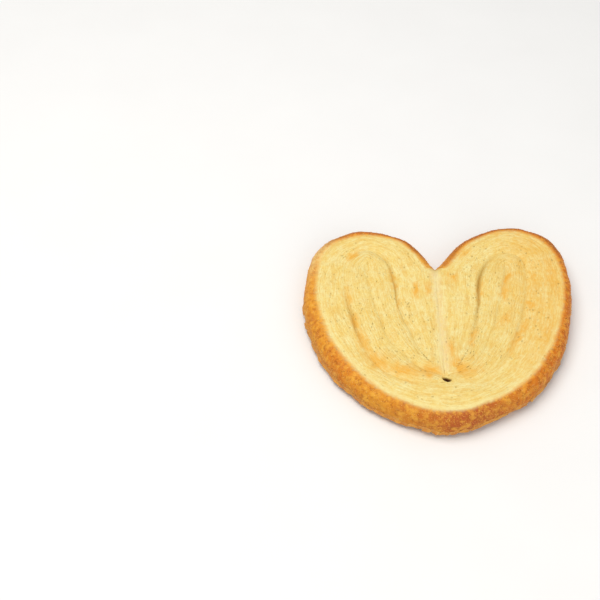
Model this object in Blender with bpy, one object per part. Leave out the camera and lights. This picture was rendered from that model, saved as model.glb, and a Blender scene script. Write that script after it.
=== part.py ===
"""Palmier: one flat, heart-shaped biscuit of folded puff pastry, lying on its underside.

Each lobe is one long ribbon of pastry.  The ribbon runs from the tip round the outside of the lobe
(the crust), down the middle seam, turns round a core near the tip and fills the lobe with a tongue
of two more plies, whose free end leaves a small hole at the foot of the seam.
Sizes are in millimetres, the mesh is in metres; +Z is up and the underside is flat at z = 0.
"""
import bpy
import numpy as np

MILLIMETRE = 0.001

THICKNESS = 14.2
WAIST_HEIGHT = 7.0
PLY_CROWN = 0.45
FACE_WAVE = 0.25
LAYER_RELIEF = 0.18
FULL_PLY = 12.0
CRUST_WOBBLE = 0.30
FLAKE_LEDGE = 0.70

SLIT_ROUNDING = 2.2
SEAM_ROUNDING = 2.4
SEAM_DEPTH = 0.9
NOTCH_RUN = 9.0
TONGUE_SLIT_DEPTH = 0.7
TONGUE_FOLD_DROP = 9.0
CORE_DEPTH = 1.1
CORE_ROUNDING = 3.0
UNDERSIDE_SLIT = 0.5
UNDERSIDE_ROUNDING = 1.4
UNDERSIDE_EDGE = 4.6

HOLE_TOP = (-1.0, -39.8)
HOLE_FOOT = (-0.6, -42.8)
HOLE_BULGE = {"left": (-2.3, 0.4), "right": (2.3, -0.4)}
HOLE_BLEND = 6.0
HOLE_RIM_DROP = 0.5
HOLE_DEPTH = 8.0
HOLE_TAPER = 0.45

NOTCH = (0.3, 36.5)
SEAM_MIDDLE = (-0.4, 8.0)
SEAM_CORE = (-0.8, -20.0)

# One rung for each place: where the outline bulges furthest, the slit point across the ply from
# it, how far the crust reaches in from the bulge, and how deep the slit is there.
RUNGS = {
    "left": {
        "tip": ((-1.0, -66.7), HOLE_FOOT, 5.8, 0.5),
        "foot": ((-26.9, -58.4), (-17.0, -43.0), 5.3, 0.4),
        "hip": ((-47.6, -42.8), (-32.5, -35.0), 7.2, 0.6),
        "flank": ((-61.6, -21.6), (-40.5, -19.5), 7.8, 0.9),
        "side": ((-68.8, 1.2), (-45.5, -1.0), 7.5, 1.4),
        "widest": ((-69.8, 23.0), (-48.4, 18.0), 6.5, 0.7),
        "shoulder": ((-62.3, 51.6), (-46.8, 38.0), 6.2, 0.5),
        "crown": ((-39.0, 64.6), (-36.0, 46.8), 5.8, 0.6),
        "inner": ((-13.4, 56.9), (-26.2, 40.0), 5.8, 1.3),
        "notch": (NOTCH, (-22.5, 24.0), 6.0, 1.7),
        "middle": (SEAM_MIDDLE, (-21.0, 5.0), 6.0, 1.0),
        "core": (SEAM_CORE, (-12.8, -22.0), 6.0, CORE_DEPTH),
    },
    "right": {
        "tip": ((-1.0, -66.7), HOLE_FOOT, 5.8, 0.5),
        "foot": ((22.0, -58.9), (14.0, -42.4), 4.6, 0.4),
        "hip": ((44.0, -44.9), (28.0, -30.5), 5.6, 0.7),
        "flank": ((60.0, -21.8), (37.6, -12.5), 5.9, 0.9),
        "side": ((67.6, 0.8), (43.6, 5.5), 5.0, 0.8),
        "widest": ((71.6, 28.0), (47.6, 24.0), 5.0, 0.5),
        "shoulder": ((66.6, 55.6), (47.0, 39.5), 6.4, 0.4),
        "crown": ((44.0, 66.9), (38.4, 44.8), 5.8, 0.5),
        "inner": ((18.6, 57.6), (28.4, 38.4), 5.6, 1.2),
        "notch": (NOTCH, (22.3, 24.0), 6.0, 2.0),
        "middle": (SEAM_MIDDLE, (20.0, 6.0), 6.0, 1.4),
        "core": (SEAM_CORE, (12.2, -22.0), 6.0, CORE_DEPTH),
    },
}
PLACES = list(RUNGS["left"])

# How many columns each stretch of the ribbon has.  The plies of the tongue share the slit's
# columns, so the turn at its foot takes what the two sides of the slit differ by.
TIP_TO_CROWN = 28
CROWN_TO_NOTCH = 13
NOTCH_TO_CORE = 11
CORE_TO_HOLE = 4
FOOT_TURN = TIP_TO_CROWN - CROWN_TO_NOTCH - NOTCH_TO_CORE
FOLD_COLUMNS = 9

# Rows across the ply: up the near rounding, over the flat, down the far rounding.
TOP_ROWS = (4, 6, 2)
UNDERSIDE_ROWS = (3, 1, 1)


def waves(x, y, wavelength, seed):
    """Smooth noise of about -1 to 1: twelve equal sine waves in seeded directions."""
    rng = np.random.default_rng(seed)
    total = np.zeros(np.broadcast(x, y).shape)
    for _ in range(12):
        turn = rng.uniform(0.0, 2.0 * np.pi)
        pitch = wavelength * rng.uniform(0.7, 1.4)
        shift = rng.uniform(0.0, 2.0 * np.pi)
        total += np.sin((x * np.cos(turn) + y * np.sin(turn)) * 2.0 * np.pi / pitch + shift)
    return total / 5.0


def smooth(value):
    """0 below 0, 1 above 1 and an S-shaped rise between."""
    value = np.clip(value, 0.0, 1.0)
    return value * value * (3.0 - 2.0 * value)


def cubic(start, end, start_slope, end_slope, u):
    """The cubic step from start to end that leaves and arrives with the given slopes."""
    return (start * (1.0 + 2.0 * u) * (1.0 - u) ** 2 + end * u**2 * (3.0 - 2.0 * u)
            + start_slope * u * (1.0 - u) ** 2 - end_slope * u**2 * (1.0 - u))


def through(points, where):
    """The smooth curve through the points, at the given places counted in points.  Its slope at
    a point is half the step from the point before to the point after."""
    points = np.asarray(points, float)
    slopes = np.gradient(points, axis=0)
    index = np.clip(np.floor(where).astype(int), 0, len(points) - 2)
    u = (where - index)[:, None]
    return cubic(points[index], points[index + 1], slopes[index], slopes[index + 1], u)


def even_steps(points, first, last, count):
    """The places between first and last at which the curve through the points steps evenly."""
    fine = np.linspace(first, last, 400)
    steps = np.linalg.norm(np.diff(through(points, fine), axis=0), axis=1)
    walked = np.concatenate([[0.0], np.cumsum(steps)])
    return np.interp(np.linspace(0.0, walked[-1], count + 1), walked, fine)


def edge(points, top, underside, top_rounding, underside_rounding):
    """One edge of a ply, a row for each column: x, y, the heights of the top and the underside
    there, and how far in from the edge each of them is rounded."""
    count = len(points)
    parts = (top, underside, top_rounding, underside_rounding)
    return np.column_stack([points] + [np.broadcast_to(value, count) for value in parts])


def seam_edge(points, crust):
    """The seam.  Under the notch it opens from the waist to the top and the underside in a
    quarter round, and further down it is a shallow groove in both."""
    run = np.clip((NOTCH[1] - points[:, 1]) / NOTCH_RUN, 0.0, 1.0)
    opening = np.sqrt(1.0 - (1.0 - run) ** 2)
    top = WAIST_HEIGHT + (THICKNESS - SEAM_DEPTH - WAIST_HEIGHT) * opening
    underside = WAIST_HEIGHT + (UNDERSIDE_SLIT - WAIST_HEIGHT) * opening
    blend = smooth(run)
    top_rounding = crust + (SEAM_ROUNDING - crust) * blend
    underside_rounding = UNDERSIDE_EDGE + (UNDERSIDE_ROUNDING - UNDERSIDE_EDGE) * blend
    return edge(points, top, underside, top_rounding, underside_rounding)


def tongue_slit(slit, side):
    """The line between the two plies of the tongue, from the hole up to the fold at its head.
    It runs midway between the two sides of the slit, and one cubic step brings it in from the
    hole and another into the fold, which lies under the head of the slit."""
    partner = 2 * TIP_TO_CROWN - np.arange(TIP_TO_CROWN + 1).clip(FOOT_TURN)
    middle = (slit[:TIP_TO_CROWN + 1] + slit[partner]) / 2.0
    last = TIP_TO_CROWN - FOLD_COLUMNS
    axis = middle[last] - slit[TIP_TO_CROWN]
    axis /= np.linalg.norm(axis)
    fold = slit[TIP_TO_CROWN] + TONGUE_FOLD_DROP * axis
    reach = np.linalg.norm(fold - middle[last])
    u = np.linspace(0.0, 1.0, FOLD_COLUMNS + 1)[:, None]
    onward = (middle[last] - middle[last - 1]) * FOLD_COLUMNS
    middle[last:] = cubic(middle[last], fold, onward, -axis * reach, u)

    leave = np.array([-9.0 if side == "left" else 9.0, 7.0])
    arrive = (middle[FOOT_TURN + 1] - middle[FOOT_TURN]) * FOOT_TURN
    u = np.linspace(0.0, 1.0, FOOT_TURN + 1)[:, None]
    middle[:FOOT_TURN + 1] = cubic(np.array(HOLE_TOP), middle[FOOT_TURN], leave, arrive, u)
    return middle


def lobe_edges(side):
    """The four edges that a lobe's plies lie between: outline, seam, slit and tongue slit."""
    rungs = list(RUNGS[side].values())
    before = list(RUNGS["right" if side == "left" else "left"].values())[1]
    crown, notch, core = (PLACES.index(name) for name in ("crown", "notch", "core"))

    free = [before[0]] + [rung[0] for rung in rungs[:notch + 1]]
    where = np.concatenate([even_steps(free, 1, crown + 1, TIP_TO_CROWN)[:-1],
                            even_steps(free, crown + 1, notch + 1, CROWN_TO_NOTCH)]) - 1.0
    outline_points = through(free, where + 1.0)
    crust = through([[rung[2]] for rung in rungs], where)[:, 0]
    outline = edge(outline_points, WAIST_HEIGHT, WAIST_HEIGHT, crust, UNDERSIDE_EDGE)

    along_seam = np.linspace(notch, core, NOTCH_TO_CORE + 1)
    seam_points = through([rung[0] for rung in rungs[notch:]], along_seam - notch)
    to_hole = np.linspace(0.0, 1.0, CORE_TO_HOLE + 1)[1:, None]
    lower_points = np.array(SEAM_CORE) * (1.0 - to_hole) + np.array(HOLE_TOP) * to_hole
    seam = seam_edge(np.vstack([seam_points, lower_points]), crust[-1])

    where = np.concatenate([where, along_seam[1:]])
    slit_points = through([before[1]] + [rung[1] for rung in rungs], where + 1.0)
    depth = through([[rung[3]] for rung in rungs], where)[:, 0]
    from_core = np.linalg.norm(slit_points - slit_points[-1], axis=1)
    rounding = SLIT_ROUNDING + (CORE_ROUNDING - SLIT_ROUNDING) * smooth(1.0 - from_core / 8.0)
    slit = edge(slit_points, THICKNESS - depth, UNDERSIDE_SLIT, rounding, UNDERSIDE_ROUNDING)

    tongue_points = tongue_slit(slit_points, side)
    at_hole = smooth(1.0 - np.arange(TIP_TO_CROWN + 1) / FOOT_TURN)
    tongue_top = THICKNESS - TONGUE_SLIT_DEPTH + (TONGUE_SLIT_DEPTH - SEAM_DEPTH) * at_hole
    tongue = edge(tongue_points, tongue_top, UNDERSIDE_SLIT, SLIT_ROUNDING, UNDERSIDE_ROUNDING)
    tongue[0, 4:] = seam[-1, 4:]
    return outline, seam, slit, tongue


def lobe_ribbon(side):
    """Start and end edge of the whole ribbon: outer ply, seam ply, the turn round the core, the
    tongue ply up to the crown and the one back down to the hole."""
    outline, seam, slit, tongue = lobe_edges(side)
    core = np.repeat(slit[-1:], CORE_TO_HOLE + FOOT_TURN, axis=0)
    up, down = slice(FOOT_TURN + 1, None), slice(TIP_TO_CROWN - 1, None, -1)
    start = np.vstack([outline[:-1], seam, tongue[1:FOOT_TURN + 1], tongue[up], tongue[down]])
    back = slit[TIP_TO_CROWN:-1][::-1]
    end = np.vstack([slit, core, back, slit[down]])
    return start, end


def sheet(start, end, rows, side, on_top):
    """The top or underside of a ribbon as an array of points, columns by rows.  Each edge is
    rounded by a quarter ellipse, and on top the flat between is crowned and layered."""
    height, reach = (2, 4) if on_top else (3, 5)
    width = np.linalg.norm(end[:, :2] - start[:, :2], axis=1)
    squeeze = np.minimum(1.0, 0.8 * width / (start[:, reach] + end[:, reach]))
    near = (start[:, reach] * squeeze)[:, None]
    far = (end[:, reach] * squeeze)[:, None]
    rise = np.linspace(0.0, np.pi / 2.0, rows[0] + 1)[None, :]
    fall = np.linspace(np.pi / 2.0, 0.0, rows[2] + 1)[None, 1:]
    flat = np.linspace(0.0, 1.0, rows[1] + 1)[None, 1:]
    distance = np.hstack([near * (1.0 - np.cos(rise)),
                          near + (width[:, None] - far - near) * flat,
                          width[:, None] - far * (1.0 - np.cos(fall))])
    share = distance / width[:, None]
    xy = start[:, None, :2] + (end - start)[:, None, :2] * share[:, :, None]

    columns = len(start)
    up = np.hstack([np.sin(rise), np.ones_like(flat), np.zeros_like(fall)])
    down = np.hstack([np.zeros_like(rise), np.zeros_like(flat), np.sin(fall)])
    on_flat = np.hstack([np.zeros_like(rise), np.sin(np.pi * flat), np.zeros_like(fall)])
    if on_top:
        face = THICKNESS + FACE_WAVE * waves(xy[..., 0], xy[..., 1], 34.0, 5)
        along = np.arange(columns)[:, None]
        row = np.arange(flat.shape[1])[None, :]
        layers = np.zeros_like(face)
        ridges = (-1.0) ** row * (1.0 + 0.6 * waves(along * 0.9, row * 3.1, 7.0, 11))
        layers[:, rows[0] + 1:rows[0] + flat.shape[1]] = LAYER_RELIEF * ridges[:, :-1]
        full = smooth(width / FULL_PLY)[:, None]
        face = face + (PLY_CROWN * on_flat + layers) * full
    else:
        face = np.zeros(xy.shape[:2])
    rising = start[:, None, height] + (face - start[:, None, height]) * up
    falling = end[:, None, height] + (face - end[:, None, height]) * down
    z = np.where(np.arange(share.shape[1])[None, :] <= rows[0] + rows[1], rising, falling)

    if on_top:
        to_hole = np.linalg.norm(xy - (np.array(HOLE_TOP) + HOLE_FOOT) / 2.0, axis=2)
        tongue_end = (np.arange(columns) > columns / 2)[:, None]
        near_hole = np.clip(1.0 - to_hole[:, :1] / HOLE_BLEND, 0.0, 1.0)
        last = np.arange(columns)[:, None] == columns - 1
        near_hole = np.where(last, 1.0, near_hole) * tongue_end
        bow = near_hole * 4.0 * share * (1.0 - share)
        xy = xy + bow[:, :, None] * np.array(HOLE_BULGE[side])
        z = z - HOLE_RIM_DROP * last * np.sin(np.pi * share)
    return np.dstack([xy, z])


def crag(points):
    """Wobble the pastry sideways, and push short ledges of flakes out above the lower edge."""
    x, y, z = points.T
    shift_x = CRUST_WOBBLE * waves(x, y, 15.0, 21)
    shift_y = CRUST_WOBBLE * waves(x, y, 15.0, 22)
    out = np.hypot(x, y)
    low = smooth(1.0 - np.abs(z - 3.0) / 2.5)
    ledge = FLAKE_LEDGE * low * np.clip(waves(x, y, 11.0, 23), 0.0, 1.0)
    return points + np.column_stack([shift_x + ledge * x / out, shift_y + ledge * y / out,
                                     np.zeros_like(z)])


def grid_faces(columns, rows, offset, flip):
    """Corner numbers of the quads of a grid of points that is stored column by column."""
    number = offset + np.arange(columns * rows).reshape(columns, rows)
    quads = np.stack([number[:-1, :-1], number[:-1, 1:], number[1:, 1:], number[1:, :-1]], -1)
    quads = quads.reshape(-1, 4)
    return quads[:, ::-1] if flip else quads


def hole_pit(left_rim, right_rim):
    """The blind hole between the two free ends: its rim carried down and drawn together."""
    rim = np.vstack([left_rim, right_rim[-2:0:-1]])
    middle = rim.mean(axis=0)
    rings = [rim]
    for share in (0.4, 1.0):
        ring = middle + (rim - middle) * (1.0 - (1.0 - HOLE_TAPER) * share)
        ring[:, 2] = THICKNESS - HOLE_DEPTH * share
        rings.append(ring)
    rings.append(np.repeat(rings[-1].mean(axis=0)[None, :], len(rim), axis=0))
    rings = np.stack(rings)
    return np.concatenate([rings, rings[:, :1]], axis=1)


def palmier_mesh():
    """All sheets of both lobes and the hole, welded where they meet, as points and triangles."""
    grids = []
    rims = {}
    for side in ("left", "right"):
        start, end = lobe_ribbon(side)
        top = sheet(start, end, TOP_ROWS, side, True)
        underside = sheet(start, end, UNDERSIDE_ROWS, side, False)
        rims[side] = top[-1]
        grids.append((top, side == "right"))
        grids.append((underside, side == "left"))
    grids.append((hole_pit(rims["left"], rims["right"]), False))

    points, faces, offset = [], [], 0
    for grid, flip in grids:
        columns, rows = grid.shape[:2]
        points.append(grid.reshape(-1, 3))
        faces.append(grid_faces(columns, rows, offset, flip))
        offset += columns * rows
    points = crag(np.vstack(points))
    faces = np.vstack(faces)
    _, first, number = np.unique(np.round(points, 4), axis=0, return_index=True,
                                 return_inverse=True)
    points = points[first]
    return points, split_quads(points, number.reshape(-1)[faces])


def split_quads(points, quads):
    """Two triangles for each quad, cut along its shorter diagonal; folded ones are dropped."""
    first = np.linalg.norm(points[quads[:, 0]] - points[quads[:, 2]], axis=1)
    second = np.linalg.norm(points[quads[:, 1]] - points[quads[:, 3]], axis=1)
    one = (first <= second)[:, None]
    a = np.where(one, quads[:, [0, 1, 2]], quads[:, [0, 1, 3]])
    b = np.where(one, quads[:, [0, 2, 3]], quads[:, [1, 2, 3]])
    triangles = np.vstack([a, b])
    real = ((triangles[:, 0] != triangles[:, 1]) & (triangles[:, 1] != triangles[:, 2])
            & (triangles[:, 2] != triangles[:, 0]))
    return triangles[real]


def main():
    for thing in list(bpy.data.objects):
        bpy.data.objects.remove(thing, do_unlink=True)
    points, triangles = palmier_mesh()
    low, high = points.min(axis=0), points.max(axis=0)
    middle = np.array([(low[0] + high[0]) / 2.0, (low[1] + high[1]) / 2.0, low[2]])
    mesh = bpy.data.meshes.new("palmier")
    mesh.from_pydata(((points - middle) * MILLIMETRE).tolist(), [], triangles.tolist())
    mesh.update()
    palmier = bpy.data.objects.new("palmier", mesh)
    bpy.context.collection.objects.link(palmier)

    pastry = bpy.data.materials.new("baked_puff_pastry")
    pastry.use_nodes = True
    shader = pastry.node_tree.nodes["Principled BSDF"]
    shader.inputs["Base Color"].default_value = (0.80, 0.52, 0.20, 1.0)
    shader.inputs["Roughness"].default_value = 0.62
    mesh.materials.append(pastry)


main()
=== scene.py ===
"""A palmier of folded puff pastry, dressed over its CAD frame: the layered pastry itself, the
loose leaves above its lower edge and the caramelised sugar on its crust."""

import math

import bpy
import numpy as np
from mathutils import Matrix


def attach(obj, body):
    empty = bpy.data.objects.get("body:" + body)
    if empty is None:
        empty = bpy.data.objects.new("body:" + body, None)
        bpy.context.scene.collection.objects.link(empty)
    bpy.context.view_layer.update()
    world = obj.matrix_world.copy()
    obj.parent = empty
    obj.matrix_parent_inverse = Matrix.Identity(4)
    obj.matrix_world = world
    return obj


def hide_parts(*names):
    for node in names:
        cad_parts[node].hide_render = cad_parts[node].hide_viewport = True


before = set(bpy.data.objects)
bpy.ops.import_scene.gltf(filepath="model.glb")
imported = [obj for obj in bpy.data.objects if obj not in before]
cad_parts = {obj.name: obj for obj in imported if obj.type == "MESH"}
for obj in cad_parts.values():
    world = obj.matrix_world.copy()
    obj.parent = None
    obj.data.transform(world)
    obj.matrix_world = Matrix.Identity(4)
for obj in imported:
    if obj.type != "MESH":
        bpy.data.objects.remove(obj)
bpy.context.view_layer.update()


# The pastry.  One flat strip of puff pastry, rolled in sugar, is folded in from both ends to the
# middle and sliced, so each lobe is one long ribbon of four plies lying on its cut side.
# Baking puffs the plies sideways, fuses them along their slits and browns the outer skin.

# Sizes and places of the pieces are given in millimetres, and this is one in metres.  The places
# belong to a plan in which the middle of the CAD solid's box lies here.
MILLIMETRE = 0.001
PLAN_CENTRE = (0.674, -0.038)

# Heights above the table of the face and of the waist, where the wall is widest.  Then the
# crown of each ply, the slow wave over the whole face, and the relief of the cut leaves.
FACE_HEIGHT = 14.2
WAIST_HEIGHT = 7.0
PLY_CROWN = 0.45
PLY_WIDTH = 22.0
FULL_PLY = 12.0
FACE_WAVE = 0.25
FACE_WAVELENGTH = 34.0
LEAF_RELIEF = 0.10
LEAF_WAVES = 30
FINEST_LEAF = 1.1
LEAF_SPREAD = 3.3
LEAF_DRIFT = (16.0, 60.0)
LEAF_SWELL = (9.0, 25.0)

# The browned wall: its wobble in plan, the ledges of flakes low on it, its blisters, and the
# uneven lip over its undercut foot.
CRUST_WOBBLE = 0.30
WOBBLE_LENGTH = 15.0
FLAKE_LEDGE = 0.70
LEDGE_LENGTH = 11.0
LEDGE_HEIGHT = 3.0
LEDGE_REACH = 2.5
BLISTER_RELIEF = 0.20
BLISTER_SIZE = 8.0
SMALL_BLISTER_SIZE = 3.6
BLISTER_STRETCH = 1.4
SMOOTH_AT_NOTCH = 8.0
LIP_HEIGHT = 2.7
LIP_WAVE = 0.7
LIP_WAVELENGTH = 9.0
LIP_RIPPLE = 0.4
LIP_RIPPLE_LENGTH = 3.5
LIP_UNDERCUT = 1.1
LIP_FADE = 0.9
LIP_FOOT = 0.8

# The slits, the seam and the tongue's own slit: how deep they are, and how far in the plies are
# rounded beside them, above and below.
ROUNDED_SHARE = 0.8
SLIT_ROUNDING = 2.7
SEAM_ROUNDING = 1.8
SEAM_DEPTH = 0.5
NOTCH_RUN = 9.0
TONGUE_SLIT_DEPTH = 0.7
TONGUE_FOLD_DROP = 9.0
CORE_DEPTH = 0.6
CORE_ROUNDING = 3.0
CORE_BLEND = 8.0
UNDERSIDE_SLIT = 0.5
UNDERSIDE_ROUNDING = 1.4
UNDERSIDE_EDGE = 4.6

# The hole at the foot of the seam, whose pit is painted dark as shade.  Its shade is how much
# deeper than it lies a place in it counts for the colour of that painted shade.
HOLE_TOP = (-1.0, -39.8)
HOLE_FOOT = (-0.6, -42.8)
HOLE_BULGE = {"left": (-2.3, 0.4), "right": (2.3, -0.4)}
LEAVING_HOLE = {"left": (-9.0, 7.0), "right": (9.0, 7.0)}
HOLE_BLEND = 6.0
HOLE_RIM_DROP = 0.5
HOLE_DEPTH = 8.0
HOLE_RINGS = 9
HOLE_TAPER = 0.45
HOLE_SHADE = 1.3

# How far down the outer skin a place lies is 1 at the waist and 0 where the face begins.  On the
# face it falls by 1 over the fade, in millimetres, but no further than to the value of no skin.
NO_SKIN = -0.4
SKIN_FADE = 8.0

# From this depth on, a slit counts as equally deep.
DEEP_SLIT = 2.0

# The head of the seam, its middle, and where the two cores meet it.
NOTCH = (0.3, 36.5)
SEAM_MIDDLE = (-0.4, 8.0)
SEAM_CORE = (-0.8, -20.0)

# Outermost point, slit point across the ply, how far the crust reaches in, depth of the slit.
RUNGS = {
    "left": {
        "tip": ((-1.0, -66.7), HOLE_FOOT, 5.8, 0.5),
        "foot": ((-26.9, -58.4), (-17.0, -43.0), 5.3, 0.4),
        "hip": ((-47.6, -42.8), (-32.5, -35.0), 7.2, 0.6),
        "flank": ((-61.6, -21.6), (-40.5, -19.5), 7.8, 0.9),
        "side": ((-68.8, 1.2), (-45.5, -1.0), 7.5, 1.4),
        "widest": ((-69.8, 23.0), (-48.4, 18.0), 6.5, 0.7),
        "shoulder": ((-62.3, 51.6), (-46.8, 38.0), 6.2, 0.5),
        "crown": ((-39.0, 64.6), (-36.0, 46.8), 5.8, 0.6),
        "inner": ((-13.4, 56.9), (-26.2, 40.0), 5.8, 1.1),
        "notch": (NOTCH, (-22.5, 24.0), 6.0, 1.3),
        "middle": (SEAM_MIDDLE, (-21.0, 5.0), 6.0, 1.0),
        "core": (SEAM_CORE, (-12.8, -22.0), 6.0, CORE_DEPTH),
    },
    "right": {
        "tip": ((-1.0, -66.7), HOLE_FOOT, 5.8, 0.5),
        "foot": ((22.0, -58.9), (14.0, -42.4), 4.6, 0.4),
        "hip": ((44.0, -44.9), (28.0, -30.5), 5.6, 0.7),
        "flank": ((60.0, -21.8), (37.6, -12.5), 5.9, 0.9),
        "side": ((67.6, 0.8), (43.6, 5.5), 5.0, 0.8),
        "widest": ((71.6, 28.0), (47.6, 24.0), 5.0, 0.5),
        "shoulder": ((66.6, 55.6), (47.0, 39.5), 6.4, 0.4),
        "crown": ((44.0, 66.9), (38.4, 44.8), 5.8, 0.5),
        "inner": ((18.6, 57.6), (28.4, 38.4), 5.6, 1.2),
        "notch": (NOTCH, (22.3, 24.0), 6.0, 2.0),
        "middle": (SEAM_MIDDLE, (20.0, 6.0), 6.0, 1.4),
        "core": (SEAM_CORE, (12.2, -22.0), 6.0, CORE_DEPTH),
    },
}
PLACES = list(RUNGS["left"])

# Columns along each stretch of the ribbon, and rows up the rounding, over the flat and down.
TIP_TO_CROWN = 116
CROWN_TO_NOTCH = 54
NOTCH_TO_CORE = 45
CORE_TO_HOLE = 17
FOOT_TURN = TIP_TO_CROWN - CROWN_TO_NOTCH - NOTCH_TO_CORE
FOLD_COLUMNS = 37
TOP_ROWS = (22, 48, 8)
UNDERSIDE_ROWS = (20, 4, 2)

# The numbers that an edge of a ply holds behind its x and y.
TOP, UNDERSIDE, TOP_ROUND, UNDERSIDE_ROUND, SKIN = range(2, 7)

# Streaks that the oven toasted: from, to, half width, strength.
TOASTED = (
    ((-45.4, 40.5), (-41.5, 45.2), 1.8, 0.9),
    ((-47.5, 19.7), (-46.7, 6.0), 1.8, 0.6),
    ((-45.8, 0.5), (-43.6, -6.9), 1.6, 1.0),
    ((-43.6, -8.0), (-38.0, -25.7), 2.6, 0.7),
    ((-38.0, -25.7), (-30.0, -35.0), 3.8, 0.85),
    ((-27.0, -35.5), (-14.0, -37.0), 3.4, 0.85),
    ((-12.0, -36.5), (-4.6, -36.5), 3.2, 1.0),
    ((-24.0, -41.8), (-15.0, -43.7), 1.2, 0.6),
    ((-24.5, 33.0), (-21.7, 18.0), 1.0, 0.8),
    ((-21.5, 13.4), (-21.6, 1.2), 1.0, 0.6),
    ((-11.0, 23.0), (-11.7, 12.0), 1.4, 0.9),
    ((-4.9, 22.0), (-5.4, 14.5), 1.2, 0.8),
    ((7.7, 29.4), (9.5, 24.0), 1.8, 0.9),
    ((13.0, 40.5), (18.5, 46.5), 2.4, 0.7),
    ((23.4, 26.1), (20.7, 10.2), 1.4, 0.6),
    ((39.2, 29.0), (35.8, 22.9), 1.5, 1.1),
    ((35.8, 22.0), (34.2, 11.0), 2.0, 0.8),
    ((51.2, 30.1), (51.4, 19.7), 2.4, 0.7),
    ((47.5, 11.0), (46.6, 4.0), 2.4, 0.9),
    ((57.0, 25.0), (60.0, 24.4), 1.8, 0.7),
    ((35.9, 1.2), (29.6, -8.1), 3.0, 0.6),
    ((45.0, -2.0), (32.4, -24.6), 2.2, 0.8),
    ((16.8, -9.3), (13.4, -20.4), 1.4, 0.7),
    ((2.8, -17.0), (3.6, -28.0), 2.0, 0.8),
    ((4.0, -31.0), (9.2, -37.6), 3.2, 1.0),
    ((9.2, -37.6), (16.0, -35.0), 2.6, 0.75),
    ((6.0, -28.0), (20.0, -30.0), 3.0, 0.35),
    ((-54.0, 57.0), (-22.0, 61.0), 2.0, 0.6),
    ((-17.0, 57.0), (-4.0, 43.0), 2.0, 0.6),
    ((7.0, 42.0), (20.0, 56.5), 2.2, 0.7),
    ((22.0, 58.5), (48.0, 62.0), 2.2, 0.6),
    ((60.0, 48.0), (63.0, 8.0), 4.0, 0.7),
    ((61.0, 8.0), (46.0, -28.0), 4.0, 0.6),
)


def waves(x, y, wavelength, seed):
    """Smooth noise of about -1 to 1: twelve equal sine waves in seeded directions."""
    rng = np.random.default_rng(seed)
    total = np.zeros(np.broadcast(x, y).shape)
    for _ in range(12):
        turn = rng.uniform(0.0, 2.0 * np.pi)
        pitch = wavelength * rng.uniform(0.7, 1.4)
        shift = rng.uniform(0.0, 2.0 * np.pi)
        total += np.sin((x * np.cos(turn) + y * np.sin(turn)) * 2.0 * np.pi / pitch + shift)
    return total / 5.0


def face_wave(x, y):
    """The slow rise and fall of the whole face: smooth noise over the plan."""
    return FACE_WAVE * waves(x, y, FACE_WAVELENGTH, seed=5)


def leaves(along, across, seed):
    """Relief of the cut leaves, about -1 to 1: sine waves across the ply, 1.1 to 3.6 mm apart,
    each of which drifts sideways along the ply and swells and fades in its own rhythm."""
    rng = np.random.default_rng(seed)
    total = np.zeros(np.broadcast(along, across).shape)
    for _ in range(LEAF_WAVES):
        pitch = FINEST_LEAF * LEAF_SPREAD ** rng.uniform(0.0, 1.0)
        drift = rng.uniform(*LEAF_DRIFT) * rng.choice([-1.0, 1.0])
        swell = rng.uniform(*LEAF_SWELL)
        shift, start = rng.uniform(0.0, 2.0 * np.pi, 2)
        strength = np.clip(np.sin(2.0 * np.pi * along / swell + start) + 0.2, 0.0, 1.2)
        total += strength * np.sin(2.0 * np.pi * (across / pitch + along / drift) + shift)
    return total / 3.5


def smooth(value):
    """0 below 0, 1 above 1 and an S-shaped rise between."""
    value = np.clip(value, 0.0, 1.0)
    return value * value * (3.0 - 2.0 * value)


def cubic(start, end, start_slope, end_slope, u):
    """The cubic step from start to end that leaves and arrives with the given slopes."""
    return (start * (1.0 + 2.0 * u) * (1.0 - u) ** 2 + end * u**2 * (3.0 - 2.0 * u)
            + start_slope * u * (1.0 - u) ** 2 - end_slope * u**2 * (1.0 - u))


def through(points, where):
    """The smooth curve through the points, at the given places counted in points.  Its slope at
    a point is half the step from the point before to the point after, and at either end the
    step to the next point."""
    points = np.asarray(points, float)
    slopes = np.gradient(points, axis=0)
    index = np.clip(np.floor(where).astype(int), 0, len(points) - 2)
    u = (where - index)[:, None]
    return cubic(points[index], points[index + 1], slopes[index], slopes[index + 1], u)


def even_steps(points, first, last, count):
    """The places between first and last at which the curve through the points steps evenly."""
    fine = np.linspace(first, last, 400)
    steps = np.linalg.norm(np.diff(through(points, fine), axis=0), axis=1)
    walked_to = np.concatenate([[0.0], np.cumsum(steps)])
    return np.interp(np.linspace(0.0, walked_to[-1], count + 1), walked_to, fine)


def edge(points, top, underside, top_rounding, underside_rounding, skin):
    """One edge of a ply, a row for each column: x, y, the heights of the top and the underside
    there, how far in each of them is rounded, and 1 where the edge is the outer skin."""
    count = len(points)
    parts = (top, underside, top_rounding, underside_rounding, skin)
    return np.column_stack([points] + [np.broadcast_to(value, count) for value in parts])


def seam_edge(points, crust):
    """The seam.  Under the notch it opens from the waist to the top and the underside in a
    quarter round, and further down it is a shallow groove in both."""
    run = np.clip((NOTCH[1] - points[:, 1]) / NOTCH_RUN, 0.0, 1.0)
    opening = np.sqrt(1.0 - (1.0 - run) ** 2)
    top = WAIST_HEIGHT + (FACE_HEIGHT - SEAM_DEPTH - WAIST_HEIGHT) * opening
    underside = WAIST_HEIGHT + (UNDERSIDE_SLIT - WAIST_HEIGHT) * opening
    blend = smooth(run)
    top_rounding = crust + (SEAM_ROUNDING - crust) * blend
    underside_rounding = UNDERSIDE_EDGE + (UNDERSIDE_ROUNDING - UNDERSIDE_EDGE) * blend
    return edge(points, top, underside, top_rounding, underside_rounding, 1.0 - opening)


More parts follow.
